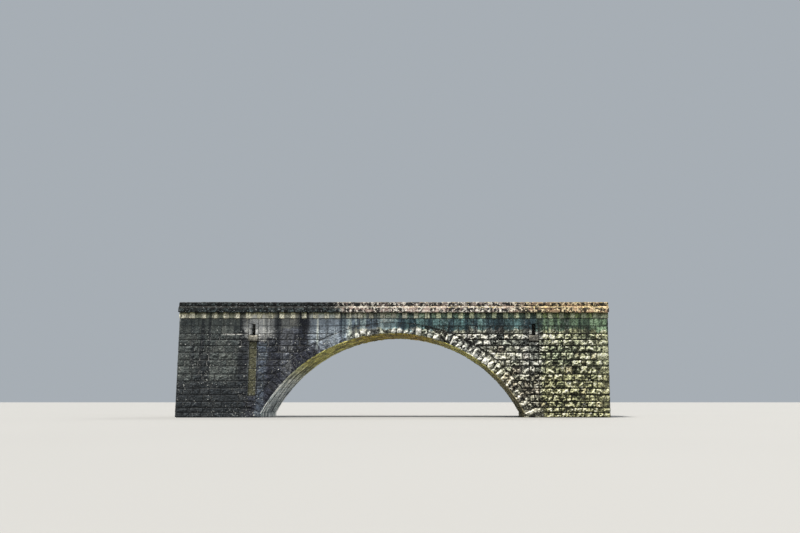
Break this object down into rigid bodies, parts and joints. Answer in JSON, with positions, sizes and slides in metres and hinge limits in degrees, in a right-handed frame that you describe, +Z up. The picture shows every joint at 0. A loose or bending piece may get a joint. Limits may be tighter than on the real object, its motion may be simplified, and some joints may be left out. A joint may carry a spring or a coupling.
{
  "type": "stone arch bridge",
  "caption": "Segmental stone arch bridge with solid end blocks, drain outlets, a dentil course, a projecting cornice and low kerbs along a gravel track bed.",
  "frame": {"origin": "middle of the bridge's footprint, at ground level", "axes": "+X along the bridge, +Y across it towards the back face, +Z up; the front face looks along -Y"},
  "size_m": [25.2, 4.96, 6.69],
  "materials": {
    "vault_stone": "dressed stone with moss",
    "ring_stone": "rock-faced",
    "wall_stone": "rock-faced and weathered",
    "wing_stone": "rock-faced and weathered",
    "ledge_stone": "dressed",
    "dentil_stone": "dressed",
    "cornice_stone": "rough and weathered",
    "kerb_stone": "rough and weathered",
    "end_stone": "rock-faced",
    "backing_stone": "rubble",
    "gravel": "loose crushed stone"
  },
  "bodies": {
    "root": {"vault": "vault_stone", "ring_front": "ring_stone", "ring_back": "ring_stone", "springer_left": "ring_stone", "springer_right": "ring_stone", "spandrel_front_left": "wall_stone", "spandrel_front_right": "wall_stone", "spandrel_back_left": "wall_stone", "spandrel_back_right": "wall_stone", "outlet_head_front_left": "wall_stone", "chase_front_left": "wall_stone", "outlet_head_front_right": "wall_stone", "chase_front_right": "wall_stone", "outlet_head_back_left": "wall_stone", "chase_back_left": "wall_stone", "outlet_head_back_right": "wall_stone", "chase_back_right": "wall_stone", "ledge_front_left": "ledge_stone", "ledge_front_right": "ledge_stone", "ledge_back_left": "ledge_stone", "ledge_back_right": "ledge_stone", "wing_front_left": "wing_stone", "wing_front_right": "wing_stone", "wing_back_left": "wing_stone", "wing_back_right": "wing_stone", "end_wall_left": "end_stone", "end_wall_right": "end_stone", "backing_left": "backing_stone", "backing_right": "backing_stone", "dentil_course_front": "dentil_stone", "dentil_course_back": "dentil_stone", "cornice_front": "cornice_stone", "cornice_back": "cornice_stone", "kerb_front": "kerb_stone", "kerb_back": "kerb_stone", "track_bed": "gravel"}
  },
  "joints": []
}
